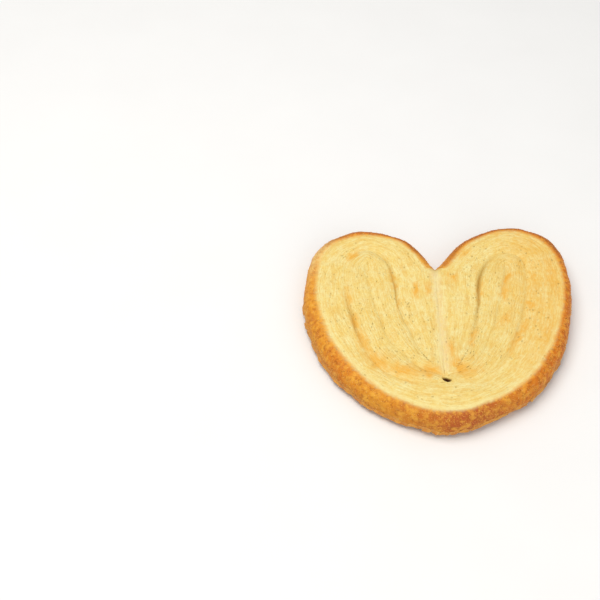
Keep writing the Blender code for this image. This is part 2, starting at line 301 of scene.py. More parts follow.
def tongue_slit(slit, side):
    """The line between the two plies of the tongue: midway between the sides of the slit, with
    one cubic step in from the hole and another into the fold under the head of the slit."""
    partner = 2 * TIP_TO_CROWN - np.arange(TIP_TO_CROWN + 1).clip(FOOT_TURN)
    middle = (slit[:TIP_TO_CROWN + 1] + slit[partner]) / 2.0
    last = TIP_TO_CROWN - FOLD_COLUMNS
    axis = middle[last] - slit[TIP_TO_CROWN]
    axis /= np.linalg.norm(axis)
    fold = slit[TIP_TO_CROWN] + TONGUE_FOLD_DROP * axis
    reach = np.linalg.norm(fold - middle[last])
    u = np.linspace(0.0, 1.0, FOLD_COLUMNS + 1)[:, None]
    onward = (middle[last] - middle[last - 1]) * FOLD_COLUMNS
    middle[last:] = cubic(middle[last], fold, onward, -axis * reach, u)

    leave = np.array(LEAVING_HOLE[side])
    arrive = (middle[FOOT_TURN + 1] - middle[FOOT_TURN]) * FOOT_TURN
    u = np.linspace(0.0, 1.0, FOOT_TURN + 1)[:, None]
    middle[:FOOT_TURN + 1] = cubic(np.array(HOLE_TOP), middle[FOOT_TURN], leave, arrive, u)
    return middle


def lobe_edges(side):
    """The four edges that a lobe's plies lie between: outline, seam, slit and tongue slit."""
    rungs = list(RUNGS[side].values())
    before = list(RUNGS["right" if side == "left" else "left"].values())[1]
    crown, notch, core = (PLACES.index(name) for name in ("crown", "notch", "core"))

    free = [before[0]] + [rung[0] for rung in rungs[:notch + 1]]
    where = np.concatenate([even_steps(free, 1, crown + 1, TIP_TO_CROWN)[:-1],
                            even_steps(free, crown + 1, notch + 1, CROWN_TO_NOTCH)]) - 1.0
    outline_points = through(free, where + 1.0)
    crust = through([[rung[2]] for rung in rungs], where)[:, 0]
    outline = edge(outline_points, WAIST_HEIGHT, WAIST_HEIGHT, crust, UNDERSIDE_EDGE, 1.0)

    along_seam = np.linspace(notch, core, NOTCH_TO_CORE + 1)
    seam_points = through([rung[0] for rung in rungs[notch:]], along_seam - notch)
    to_hole = np.linspace(0.0, 1.0, CORE_TO_HOLE + 1)[1:, None]
    lower_points = np.array(SEAM_CORE) * (1.0 - to_hole) + np.array(HOLE_TOP) * to_hole
    seam = seam_edge(np.vstack([seam_points, lower_points]), crust[-1])

    where = np.concatenate([where, along_seam[1:]])
    slit_points = through([before[1]] + [rung[1] for rung in rungs], where + 1.0)
    depth = through([[rung[3]] for rung in rungs], where)[:, 0]
    from_core = np.linalg.norm(slit_points - slit_points[-1], axis=1)
    near_core = smooth(1.0 - from_core / CORE_BLEND)
    rounding = SLIT_ROUNDING + (CORE_ROUNDING - SLIT_ROUNDING) * near_core
    slit = edge(slit_points, FACE_HEIGHT - depth, UNDERSIDE_SLIT, rounding,
                UNDERSIDE_ROUNDING, 0.0)

    at_hole = smooth(1.0 - np.arange(TIP_TO_CROWN + 1) / FOOT_TURN)
    tongue_top = FACE_HEIGHT - TONGUE_SLIT_DEPTH + (TONGUE_SLIT_DEPTH - SEAM_DEPTH) * at_hole
    tongue = edge(tongue_slit(slit_points, side), tongue_top, UNDERSIDE_SLIT, SLIT_ROUNDING,
                  UNDERSIDE_ROUNDING, 0.0)
    tongue[0, TOP_ROUND:] = seam[-1, TOP_ROUND:]
    return outline, seam, slit, tongue


def lobe_ribbon(side):
    """Start and end edge of the whole ribbon: outer ply, seam ply, the turn round the core, the
    tongue ply up to the crown and the one back down to the hole."""
    outline, seam, slit, tongue = lobe_edges(side)
    core = np.repeat(slit[-1:], CORE_TO_HOLE + FOOT_TURN, axis=0)
    up, down = slice(FOOT_TURN + 1, None), slice(TIP_TO_CROWN - 1, None, -1)
    start = np.vstack([outline[:-1], seam, tongue[1:FOOT_TURN + 1], tongue[up], tongue[down]])
    back = slit[TIP_TO_CROWN:-1][::-1]
    end = np.vstack([slit, core, back, slit[down]])
    return start, end


def walked(start, end, side):
    """How far along the middle of the ribbon each column lies from the tip, in millimetres:
    more than 0 in the left lobe and less in the right one."""
    middle = (start[:, :2] + end[:, :2]) / 2.0
    steps = np.linalg.norm(np.diff(middle, axis=0), axis=1)
    along = np.concatenate([[0.0], np.cumsum(steps)])
    return along if side == "left" else -along


def slit_softness(height):
    """How much softer than a crease the bottom of a slit is: 2 down to 0.75 mm below the face,
    from there evenly less to 1.1 at 1.3 mm, and no less below that."""
    return 2.0 * np.clip(1.6 - 0.8 * (FACE_HEIGHT - height), 0.55, 1.0)


def bowed_round_hole(xy, z, share, side):
    """The ribbon with its last columns bowed sideways round the hole and lowered along its rim:
    a parabola and a half sine wave across the ply, both fading away from the hole."""
    to_hole = np.linalg.norm(xy - (np.array(HOLE_TOP) + HOLE_FOOT) / 2.0, axis=2)
    column = np.arange(len(xy))[:, None]
    near_hole = np.clip(1.0 - to_hole[:, :1] / HOLE_BLEND, 0.0, 1.0)
    near_hole = np.where(column == len(xy) - 1, 1.0, near_hole) * (column > len(xy) / 2)
    bow = near_hole * 4.0 * share * (1.0 - share)
    xy = xy + bow[:, :, None] * np.array(HOLE_BULGE[side])
    z = z - HOLE_RIM_DROP * smooth(near_hole * 3.0 - 2.0) * np.sin(np.pi * share)
    return xy, z


def sheet(start, end, rows, side, on_top):
    """The top or underside of a ribbon, columns along and rows across it.  Each edge is rounded
    by a quarter ellipse, and on top the flat between is crowned and leafy.  Seven numbers for
    each point: x, y, z, place along, place across, how far down the outer skin it lies (1 at
    the waist, 0 on the face, less where there is none) and how deep in a slit."""
    height, reach = (TOP, TOP_ROUND) if on_top else (UNDERSIDE, UNDERSIDE_ROUND)
    width = np.linalg.norm(end[:, :2] - start[:, :2], axis=1)
    squeeze = np.minimum(1.0, ROUNDED_SHARE * width / (start[:, reach] + end[:, reach]))
    near = (start[:, reach] * squeeze)[:, None]
    far = (end[:, reach] * squeeze)[:, None]
    rise = np.linspace(0.0, np.pi / 2.0, rows[0] + 1)[None, :]
    flat = np.linspace(0.0, 1.0, rows[1] + 1)[None, 1:]
    fall = np.linspace(np.pi / 2.0, 0.0, rows[2] + 1)[None, 1:]
    no_rise, no_flat, no_fall = (np.zeros_like(part) for part in (rise, flat, fall))
    distance = np.hstack([near * (1.0 - np.cos(rise)),
                          near + (width[:, None] - far - near) * flat,
                          width[:, None] - far * (1.0 - np.cos(fall))])
    share = distance / width[:, None]
    xy = start[:, None, :2] + (end - start)[:, None, :2] * share[:, :, None]
    along = walked(start, end, side)[:, None] + np.zeros_like(share)
    across = share * PLY_WIDTH

    up = np.hstack([np.sin(rise), np.ones_like(flat), no_fall])
    down = np.hstack([no_rise, no_flat, np.sin(fall)])
    is_skin = start[:, SKIN, None]
    face = np.zeros(share.shape)
    if on_top:
        up = up ** (1.0 + (1.0 - is_skin) * slit_softness(start[:, TOP, None]))
        down = down ** (1.0 + slit_softness(end[:, TOP, None]))
        full = smooth(width / FULL_PLY)[:, None]
        on_flat = np.hstack([no_rise, np.sin(np.pi * flat), no_fall])
        relief = LEAF_RELIEF * leaves(along, across, seed=31) * smooth(on_flat * 4.0)
        face = FACE_HEIGHT + face_wave(xy[..., 0], xy[..., 1])
        face = face + (PLY_CROWN * on_flat + relief) * full
    rising = start[:, height, None] + (face - start[:, height, None]) * up
    falling = end[:, height, None] + (face - end[:, height, None]) * down
    before_fall = np.arange(share.shape[1])[None, :] <= rows[0] + rows[1]
    z = np.where(before_fall, rising, falling)
    if on_top:
        xy, z = bowed_round_hole(xy, z, share, side)

    past_skin = np.clip((distance - near) / SKIN_FADE, 0.0, -NO_SKIN)
    up_skin = np.hstack([1.0 - rise * 2.0 / np.pi, no_flat, no_fall])
    skin = (up_skin - past_skin) * is_skin + NO_SKIN * (1.0 - is_skin)
    depth = np.where(before_fall, (FACE_HEIGHT - start[:, TOP, None]) * (1.0 - is_skin),
                     FACE_HEIGHT - end[:, TOP, None])
    near_slit = np.hstack([np.cos(rise), no_flat, np.cos(fall)])
    groove = np.clip(depth, 0.0, DEEP_SLIT) * near_slit
    return np.dstack([xy, z, along, across, skin, groove])


def crag(points, skin, along):
    """Wobble the pastry sideways, push short ledges of flakes out above the lower edge, raise
    shallow blisters on the skin and cut it back under an uneven lip.  Each is smooth noise, and
    all but the wobble move it straight away from the middle of the plan or towards it."""
    x, y, z = points.T
    shift_x = CRUST_WOBBLE * waves(x, y, WOBBLE_LENGTH, seed=21)
    shift_y = CRUST_WOBBLE * waves(x, y, WOBBLE_LENGTH, seed=22)
    low = smooth(1.0 - np.abs(z - LEDGE_HEIGHT) / LEDGE_REACH)
    ledge = FLAKE_LEDGE * low * np.clip(waves(x, y, LEDGE_LENGTH, seed=23), 0.0, 1.0)
    from_notch = np.hypot(x - NOTCH[0], y - NOTCH[1])
    on_skin = smooth(skin * 3.0) * smooth(from_notch / SMOOTH_AT_NOTCH)
    up_wall = z * BLISTER_STRETCH
    blister = BLISTER_RELIEF * on_skin * (waves(along, up_wall, BLISTER_SIZE, seed=41)
                                          + 0.6 * waves(along, up_wall, SMALL_BLISTER_SIZE,
                                                        seed=43))
    lip_height = (LIP_HEIGHT + LIP_WAVE * waves(along, 0.0, LIP_WAVELENGTH, seed=44)
                  + LIP_RIPPLE * waves(along, 0.0, LIP_RIPPLE_LENGTH, seed=45))
    under_lip = smooth((lip_height - z) / LIP_FADE) * smooth(z / LIP_FOOT) * (skin > 0.02)
    push = ledge + blister - LIP_UNDERCUT * under_lip
    out = np.hypot(x, y)
    return points + np.column_stack([shift_x + push * x / out, shift_y + push * y / out,
                                     np.zeros_like(z)])


def hole_pit(left_rim, right_rim):
    """The blind hole between the two free ends: its rim carried down and drawn together."""
    rim = np.vstack([left_rim, right_rim[-2:0:-1]])
    middle = rim.mean(axis=0)
    shares = np.linspace(0.0, 1.0, HOLE_RINGS)[:, None, None]
    rings = middle + (rim - middle)[None] * (1.0 - (1.0 - HOLE_TAPER) * shares)
    rings[..., 2] = (rim[None, :, 2:] * (1.0 - shares)
                     + (FACE_HEIGHT - HOLE_DEPTH) * shares)[..., 0]
    bottom = np.repeat(rings[-1].mean(axis=0)[None, None], len(rim), axis=1)
    rings = np.concatenate([rings, bottom])
    return np.concatenate([rings, rings[:, :1]], axis=1)


def grid_quads(columns, rows, offset, flip):
    """Corner numbers of the quads of a grid of points that is stored column by column."""
    number = offset + np.arange(columns * rows).reshape(columns, rows)
    quads = np.stack([number[:-1, :-1], number[:-1, 1:], number[1:, 1:], number[1:, :-1]], -1)
    quads = quads.reshape(-1, 4)
    return quads[:, ::-1] if flip else quads


def weld(points, decimals):
    """Give each different place one number: the first point at each number's place, and the
    number of each point."""
    _, first, number = np.unique(np.round(points, decimals), axis=0, return_index=True,
                                 return_inverse=True)
    return first, number.reshape(-1)


def welded_sheets():
    """All sheets of both lobes and the hole, welded where they meet: for each point the numbers
    of sheet() and whether it lies below, the quads, and the same numbers for each corner."""
    grids = []
    rims = {}
    for side in ("left", "right"):
        start, end = lobe_ribbon(side)
        top = sheet(start, end, TOP_ROWS, side, True)
        underside = sheet(start, end, UNDERSIDE_ROWS, side, False)
        rims[side] = top[-1, :, :3]
        grids.append((top, side == "right", 0.0))
        grids.append((underside, side == "left", 1.0))
    pit = hole_pit(rims["left"], rims["right"])
    no_place = np.zeros(pit.shape[:2] + (2,))
    skin = np.full(pit.shape[:2], NO_SKIN)
    # How deep a place in the pit lies, for the painted shade there.
    groove = FACE_HEIGHT + HOLE_SHADE - pit[..., 2]
    grids.append((np.dstack([pit, no_place, skin, groove]), False, 0.0))

    numbers, quads, offset = [], [], 0
    for grid, flip, below in grids:
        columns, rows, kinds = grid.shape
        flat = grid.reshape(-1, kinds)
        numbers.append(np.column_stack([flat, np.full(len(flat), below)]))
        quads.append(grid_quads(columns, rows, offset, flip))
        offset += columns * rows
    numbers = np.vstack(numbers)
    quads = np.vstack(quads)
    first, number = weld(numbers[:, :3], 4)
    return numbers[first], number[quads], numbers[quads]


def new_mesh(name, points, corners, kept):
    """A smooth mesh from points in millimetres and quads.  kept says which corners of each quad
    count, so that a quad that closes to a point becomes a triangle."""
    mesh = bpy.data.meshes.new(name)
    points = points - [*PLAN_CENTRE, 0.0]
    mesh.vertices.add(len(points))
    mesh.vertices.foreach_set("co", (points * MILLIMETRE).ravel())
    loops = corners[kept]
    mesh.loops.add(len(loops))
    mesh.loops.foreach_set("vertex_index", loops)
    starts = np.concatenate([[0], np.cumsum(kept.sum(axis=1))[:-1]])
    mesh.polygons.add(len(starts))
    mesh.polygons.foreach_set("loop_start", starts)
    mesh.update(calc_edges=True)
    mesh.shade_smooth()
    return mesh


def set_attribute(mesh, name, values):
    layer = mesh.attributes.new(name, "FLOAT", "POINT")
    layer.data.foreach_set("value", np.ascontiguousarray(values, dtype=np.float32))


def new_piece(name, mesh, material):
    """A piece of the palmier, at the origin of the frame, that moves with its one body."""
    piece = bpy.data.objects.new(name, mesh)
    bpy.context.collection.objects.link(piece)
    mesh.materials.append(material)
    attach(piece, "root")
    return piece


# Patches of the skin: middle, reach in x and y, strength.
WIDER_RIGHT_RIM = ((60.0, 56.0), (16.0, 14.0), 0.06)
WIDER_LEFT_RIM = ((-40.0, 62.0), (16.0, 8.0), 0.12)
BROWN_HIP = ((-54.0, -32.0), (14.0, 15.0), 0.65)
PALE_SHOULDER = ((-66.0, 46.0), (16.0, 15.0), 1.0)

# Strips down the length of the palmier: x of the middle, half width.
FLOURED_SEAM = (-0.5, 3.4)
RED_TIP = (8.0, 26.0)

# Where each finish begins and where it is full, in x.
RIGHT_LOBE = (12.0, 52.0)
BROWN_TO_RIGHT = (10.0, 55.0)

# The same in y.
BROWN_TO_FAR_SIDE = (40.0, 60.0)
# Where the painted shade on the far rim begins and where it is full.
DARK_RIM = (34.0, 50.0)
PALE_RIM = (10.0, -20.0)
FLOUR_BELOW_NOTCH = (38.5, 30.5)
FLOUR_ABOVE_HOLE = (-40.0, -34.0)
RED_TOWARDS_TIP = (-40.0, -52.0)

# The same in height, and then in how far down the skin a place lies.
MELTED = (1.6, 0.0)
NEAR_RIM = (NO_SKIN, -0.2)
PALE_SKIN = (0.95, 0.45)
# DARK_SKIN and DARK_SKIN_END, with DARK_RIM in y, bound the painted shade on the far rim.
DARK_SKIN = (0.04, 0.28)
DARK_SKIN_END = (0.75, 0.45)

# How far the whole of the right lobe is turned to the toast colour.
RIGHT_LOBE_DARKENING = 0.46


def ramp(value, begin, full):
    """0 where the value begins, 1 where it is full, and an S-shaped rise between."""
    return smooth((value - begin) / (full - begin))


def patch(x, y, middle, reach, strength):
    """A bell curve over the plan, as strong as given in its middle."""
    return strength * np.exp(-((x - middle[0]) / reach[0]) ** 2
                             - ((y - middle[1]) / reach[1]) ** 2)


def strip(x, middle, half_width):
    """A bell curve over x, 1 in its middle."""
    return np.exp(-((x - middle) / half_width) ** 2)


def toasting(plan):
    """How much of the toast colour the face has at each place in plan, about 0 to 1: a little
    everywhere in the right lobe, and a narrow bell curve on a wide one over the distance from
    each toasted streak.  The streaks fade towards their ends, and smooth noise first pushes the
    places about so that they are uneven."""
    x, y = plan.T
    plan = plan + np.column_stack([0.9 * waves(x, y, 5.0, seed=71),
                                   1.4 * waves(x, y, 7.0, seed=72)])
    total = RIGHT_LOBE_DARKENING * ramp(x, *RIGHT_LOBE)
    for start, end, half_width, strength in TOASTED:
        streak = np.subtract(end, start)
        share = np.clip((plan - start) @ streak / (streak @ streak), 0.0, 1.0)
        away = np.linalg.norm(plan - start - share[:, None] * streak, axis=1) / half_width
        bell = 0.55 * np.exp(-away ** 2) + 0.45 * np.exp(-(away / 2.4) ** 2)
        taper = 0.65 + 0.35 * np.sin(np.pi * share)
        total = np.maximum(total, strength * bell * taper)
    return total


def finish_maps(points, skin, groove, below):
    """How much of each finish every point of the pastry has, by name: products of ramps and
    bell curves over its place in plan, its height and how far down the skin it lies."""
    x, y, z = points.T
    brown = np.maximum(ramp(x, *BROWN_TO_RIGHT), ramp(y, *BROWN_TO_FAR_SIDE))
    flour = strip(x, *FLOURED_SEAM) * ramp(y, *FLOUR_BELOW_NOTCH) * ramp(y, *FLOUR_ABOVE_HOLE)
    far_rim = ramp(skin, *DARK_SKIN) * ramp(skin, *DARK_SKIN_END)
    return {
        "skin": skin + patch(x, y, *WIDER_RIGHT_RIM) + patch(x, y, *WIDER_LEFT_RIM),
        "groove": groove,
        "toast": toasting(points[:, :2]),
        "flour": flour,
        "rim": ramp(skin, *NEAR_RIM) * ramp(y, *PALE_RIM),
        "below": below * ramp(z, *MELTED),
        "redness": strip(x, *RED_TIP) * ramp(y, *RED_TOWARDS_TIP),
        "brown": np.maximum(brown, patch(x, y, *BROWN_HIP)),
        "pale": patch(x, y, *PALE_SHOULDER) * ramp(skin, *PALE_SKIN),
        # dark: painted shade on the far rim, where the wall faces away from the lamps.
        "dark": far_rim * ramp(y, *DARK_RIM),
        "height": z,
    }


class Wire:
    """An output socket of a shader node.  Arithmetic on it adds Math nodes, mix() adds a Mix
    node, and add() adds any other node."""

    def __init__(self, tree, socket=None):
        self.tree = tree
        self.socket = socket

    def add(self, kind, settings=None, sockets=None, output=0):
        """Add a node: its settings first, then a value or a wire for each of its sockets."""
        node = self.tree.nodes.new("ShaderNode" + kind)
        for name, value in (settings or {}).items():
            setattr(node, name, value)
        for name, value in (sockets or {}).items():
            if isinstance(value, Wire):
                self.tree.links.new(value.socket, node.inputs[name])
            else:
                node.inputs[name].default_value = value
        return Wire(self.tree, node.outputs[output])

    def math(self, operation, first, second):
        return self.add("Math", {"operation": operation}, {0: first, 1: second})

    def __add__(self, other):
        return self.math("ADD", self, other)

    def __sub__(self, other):
        return self.math("SUBTRACT", self, other)

    def __rsub__(self, other):
        return self.math("SUBTRACT", other, self)

    def __mul__(self, other):
        return self.math("MULTIPLY", self, other)

    __radd__ = __add__
    __rmul__ = __mul__

    def ramp(self, low, high):
        """An S-shaped rise from 0 at low to 1 at high."""
        return self.add("MapRange", {"interpolation_type": "SMOOTHSTEP"},
                        {"Value": self, "From Min": low, "From Max": high})

    def mix(self, first, second):
        """From the first colour where this is 0 to the second where it is 1."""
        colours = [value if isinstance(value, Wire) else (*value, 1.0)
                   for value in (first, second)]
        return self.add("Mix", {"data_type": "RGBA"}, {0: self, 6: colours[0], 7: colours[1]}, 2)

    def noise(self, size, detail=2.0, roughness=0.5):
        """Noise of 0 to 1 over this vector, whose lumps are about this size in its units."""
        return self.add("TexNoise", {}, {"Vector": self, "Scale": 1.0 / size, "Detail": detail,
                                         "Roughness": roughness})

    def stretched(self, along, across):
        """This vector with its x and y divided by these sizes."""
        return self.add("Mapping", {"vector_type": "POINT"},
                        {"Vector": self, "Scale": (1.0 / along, 1.0 / across, 1.0)})

    def bump(self):
        """A normal bent by this height, in millimetres."""
        return self.add("Bump", {}, {"Strength": 1.0, "Distance": MILLIMETRE, "Height": self})

    def feed(self, shader, name):
        self.tree.links.new(self.socket, shader.inputs[name])


def new_material(name):
    material = bpy.data.materials.new(name)
    material.use_nodes = True
    tree = material.node_tree
    return material, tree.nodes["Principled BSDF"], Wire(tree)


def millimetres(wires):
    """The object's own coordinates in millimetres."""
    place = wires.add("TexCoord", output=3)
    return wires.add("VectorMath", {"operation": "SCALE"}, {0: place, 3: 1.0 / MILLIMETRE})


def attribute(wires, name):
    """The number that every point of the mesh holds under this name."""
    return wires.add("Attribute", {"attribute_name": name}, output=2)


def layered(colour, layers):
    """The colour with each layer's own laid over it in turn, as far as that layer's mask says."""
    for mask, over in layers:
        colour = mask.mix(colour, over)
    return colour


CREAM = (0.79, 0.69, 0.315)
BUTTER = (0.77, 0.585, 0.185)
STREAK = (0.70, 0.43, 0.095)
TOAST = (0.75, 0.39, 0.058)
# SLIT_SHADE_AND_DASH: the painted shade in the slits, and the dark dashes along the leaves.
SLIT_SHADE_AND_DASH = (0.50, 0.32, 0.070)
PIT = (0.44, 0.28, 0.060)
FLOUR = (0.78, 0.67, 0.42)
GOLDEN_CRUST = (0.66, 0.255, 0.018)
PEACH_CRUST = (0.80, 0.395, 0.048)
PALE_CRUST = (0.80, 0.56, 0.20)
RED_CRUST = (0.41, 0.085, 0.018)
BROWN_CRUST = (0.59, 0.150, 0.008)
# SCORCH_AND_SHADE: scorched blotches, and the painted shade on the far rim and under the lip.
SCORCH_AND_SHADE = (0.37, 0.100, 0.008)
# HOLE_PAINTED_SHADE: the painted shade down the pit of the hole.
HOLE_PAINTED_SHADE = (0.16, 0.050, 0.016)
CARAMEL = (0.50, 0.19, 0.030)
# DARK_CARAMEL_AND_SHADE: dark caramel blotches, and the painted shade in the underside's slits.
DARK_CARAMEL_AND_SHADE = (0.26, 0.075, 0.012)


def pastry_patterns(place, leaf, value):
    """The noises and marks that several finishes of the pastry share: over the place in the
    object, or along the leaves."""
    mottle = place.noise(2.0, 4.0, 0.6)
    cell = leaf.add("TexVoronoi", {}, {"Vector": leaf.stretched(3.0, 2.0), "Scale": 1.0})
    return {
        "broad": place.noise(7.0, 4.0, 0.65),
        "blotch": place.noise(3.4, 5.0, 0.7),
        "mottle": mottle,
        "grain": place.noise(0.8, 3.0, 0.7),
        "streak": leaf.stretched(4.0, 0.7).noise(1.0, 4.0, 0.65),
        "hairline": leaf.stretched(9.0, 0.3).noise(1.0, 2.0, 0.6),
        "pit": (1.0 - cell.ramp(0.08, 0.26)) * place.noise(5.0).ramp(0.44, 0.62),
        # Painted shade in the slits, as strong as each slit is deep.
        "slit_shade": value["groove"] * (0.6 + mottle * 0.8),
    }


def face_colour(place, leaf, value, pattern):
    """Cream and butter in clouds, with darker streaks, dashes and hairlines along the leaves;
    over them a paler rim, the toasted streaks, painted shade with some browning in the slits,
    the floury seam and the pits."""
    mottle, grain, streak = pattern["mottle"], pattern["grain"], pattern["streak"]
    wide_streak = leaf.stretched(16.0, 2.4).noise(1.0, 3.0, 0.6)
    dash = leaf.stretched(2.2, 0.55).noise(1.0, 2.0, 0.5) * place.noise(9.0).ramp(0.35, 0.6)
    toast = value["toast"] * (streak * 1.7 + mottle * 0.9 - 0.15)
    flour = value["flour"] * (mottle * 1.4 + streak * 0.8 - 0.4)
    return layered(pattern["broad"].ramp(0.3, 0.65).mix(CREAM, BUTTER), [
        ((1.0 - wide_streak.ramp(0.34, 0.48)) * 0.7, CREAM),
        (wide_streak.ramp(0.48, 0.66) * 0.55, STREAK),
        (mottle.ramp(0.44, 0.66) * 0.38, STREAK),
        (streak.ramp(0.46, 0.68) * 0.6, STREAK),
        (pattern["hairline"].ramp(0.52, 0.72) * 0.45, STREAK),
        (dash.ramp(0.5, 0.72) * 0.45, SLIT_SHADE_AND_DASH),
        (grain.ramp(0.50, 0.68) * 0.3, STREAK),
        ((1.0 - grain.ramp(0.34, 0.48)) * 0.4, CREAM),
        ((1.0 - streak.ramp(0.32, 0.46)) * 0.55, CREAM),
        (value["rim"] * 0.5, CREAM),
        (toast.ramp(0.05, 1.25), TOAST),
        # Painted shade in the slits, with some browning there.
        (pattern["slit_shade"].ramp(0.2, 1.8) * 0.6, SLIT_SHADE_AND_DASH),
        (flour.ramp(0.05, 1.1) * 0.5, FLOUR),
        (pattern["pit"] * 0.5, PIT),
    ])


def crust_colour(value, pattern):
    """Golden skin, redder at the tip and browner on the right and the far side, with peach and
    scorched blotches; painted shade on the far rim, a pale shoulder, and a paler lip that is
    partly a painted highlight, over a foot darkened by scorching and by painted contact shadow."""
    broad, blotch, mottle = pattern["broad"], pattern["blotch"], pattern["mottle"]
    # The lip band: paler dough, partly a painted highlight, and below it the darker foot.
    lip = value["height"] + (mottle - 0.5) * 1.6
    on_lip = lip.ramp(2.4, 3.0) * (1.0 - lip.ramp(3.2, 4.2)) * blotch.ramp(0.42, 0.62)
    return layered(value["redness"].mix(GOLDEN_CRUST, RED_CRUST), [
        (value["brown"], BROWN_CRUST),
        (blotch.ramp(0.42, 0.66) * 0.75, PEACH_CRUST),
        ((1.0 - broad.ramp(0.34, 0.50)) * 0.45, RED_CRUST),
        ((1.0 - mottle.ramp(0.34, 0.50)) * (value["brown"] * 0.2 + 0.6), SCORCH_AND_SHADE),
        (mottle.ramp(0.54, 0.68) * value["brown"] * 0.4, PEACH_CRUST),
        (pattern["grain"].ramp(0.52, 0.70) * 0.5, PEACH_CRUST),
        # Painted shade on the far rim, where the wall faces away from the lamps.
        (value["dark"] * (blotch + 0.3), SCORCH_AND_SHADE),
        (value["pale"] * (blotch.ramp(0.35, 0.6) * 0.5 + 0.4), PALE_CRUST),
        # Painted highlight along the lip, partly paler dough there.
        (on_lip * 0.8, PEACH_CRUST),
        # Darker below the lip: partly scorching on the tray, partly painted contact shadow.
        ((1.0 - lip.ramp(1.4, 2.7)) * 0.85, SCORCH_AND_SHADE),
    ])


def underside_colour(pattern):
    """Sugar that melted on the tray: caramel in light and dark blotches, and painted shade in
    the slits.
    """
    blotched = (pattern["blotch"].ramp(0.4, 0.62) * 0.7).mix(CARAMEL, DARK_CARAMEL_AND_SHADE)
    return layered(blotched, [
        (pattern["streak"].ramp(0.45, 0.75) * 0.35, GOLDEN_CRUST),
        # Painted shade in the slits of the underside.
        (pattern["slit_shade"].ramp(0.1, 0.9) * 0.7, DARK_CARAMEL_AND_SHADE),
    ])


def pastry_material(finishes):
    """Pale leaves in streaks along the ply, toasted patches and pits over them, and a browned,
    grainy skin whose border with the face is soft and uneven."""
    material, shader, wires = new_material("baked_pastry")
    place = millimetres(wires)
    leaf = wires.add("UVMap", {"uv_map": "ply"})
    value = {name: attribute(wires, name) for name in finishes}
    pattern = pastry_patterns(place, leaf, value)
    mottle, grain = pattern["mottle"], pattern["grain"]

    edge_noise = (mottle - 0.5) * 0.22 + (pattern["blotch"] - 0.5) * 0.26
    browned = (value["skin"] + edge_noise).ramp(-0.16, 0.20)
    melted = value["below"] * (pattern["broad"].ramp(0.3, 0.6) * 0.3 + 0.6)
    colour = layered(face_colour(place, leaf, value, pattern), [
        (browned, crust_colour(value, pattern)),
        (melted, underside_colour(pattern)),
        # Painted shade down the pit of the hole.
        (value["groove"].ramp(2.1, 3.6), HOLE_PAINTED_SHADE),
    ])
    colour.feed(shader, "Base Color")

    rough = 0.74 - browned * 0.16 - melted * 0.35 + (grain - 0.5) * 0.2
    rough.feed(shader, "Roughness")
    shader.inputs["Specular IOR Level"].default_value = 0.16

    leafy = (pattern["streak"] * 0.12 + pattern["hairline"] * 0.06 + mottle * 0.12
             - pattern["pit"] * 0.3)
    crusty = grain * 0.10 + mottle * 0.30
    relief = leafy * (1.0 - browned) + crusty * browned + grain * 0.03
    relief.bump().feed(shader, "Normal")
    return material


def pastry():
    """The whole palmier as one closed surface that replaces the CAD solid."""
    numbers, corners, loose = welded_sheets()
    kept = corners != np.roll(corners, -1, axis=1)
    crossed = (corners[:, 0] == corners[:, 2]) | (corners[:, 1] == corners[:, 3])
    real = (kept.sum(axis=1) >= 3) & ~crossed
    corners, kept, loose = corners[real], kept[real], loose[real]

    along, _, skin, groove, below = numbers[:, 3:].T
    points = crag(numbers[:, :3], skin, along)
    mesh = new_mesh("palmier_pastry", points, corners, kept)
    ply = mesh.uv_layers.new(name="ply")
    ply.data.foreach_set("uv", np.ascontiguousarray(loose[kept][:, 3:5]).ravel())
    finishes = finish_maps(points, skin, groove, below)
    for name, values in finishes.items():
        set_attribute(mesh, name, values)
    piece = new_piece("palmier_pastry", mesh, pastry_material(finishes))
    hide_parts("palmier")


pastry()


# Loose leaves.  Where the browned skin meets the baking tray, its outermost leaves of pastry
# have come away from it.  Each is a thin curled scale whose lower edge stands off the wall.

# The level of a leaf is a turn of outer_wall(), and LOWER_WALL is about how far it is down the
# wall from the waist to the tray.
FLAKE_COUNT = 140
FLAKE_GRID = (8, 25)
FLAKE_THICKNESS = 0.18
FLAKE_STAND = 0.05
FLAKE_LIFT = (0.3, 1.6)
FLAKE_RIPPLE = 0.10
FLAKE_LEVEL = (-0.52, -0.26)
FLAKE_HALF_LENGTH = (1.5, 6.0)
FLAKE_HALF_HEIGHT = (0.8, 1.7)
LOWER_WALL = 9.0
FLAKE_GOLD = (0.68, 0.29, 0.028)
# FLAKE_PALE: pale grains, and the painted highlight along each leaf's rim.
FLAKE_PALE = (0.82, 0.48, 0.14)
FLAKE_BROWN = (0.52, 0.17, 0.018)

# Stretches of the wall that have loose leaves: from and to, in millimetres along the wall from
# the tip, then their share of all the leaves, and how far they stand off next to the first.
FLAKED_STRETCHES = (
    (2.0, 100.0, 0.48, 1.0),
    (-80.0, 0.0, 0.32, 0.8),
    (-190.0, 190.0, 0.20, 0.5),
)


def wall_columns():
    """The browned wall, column by column from one side of the notch round the tip to the other:
    place along the ply, x and y at the waist, the direction inwards, and how far in it is
    rounded."""
    lobes = []
    for side in ("right", "left"):
        start, end = lobe_ribbon(side)
        inward = (end - start)[:, :2]
        inward = inward / np.linalg.norm(inward, axis=1)[:, None]
        table = np.column_stack([walked(start, end, side), start[:, :2], inward,
                                 start[:, TOP_ROUND]])
        lobes.append(table[:TIP_TO_CROWN + CROWN_TO_NOTCH])
    return np.vstack([lobes[0][:0:-1], lobes[1]])


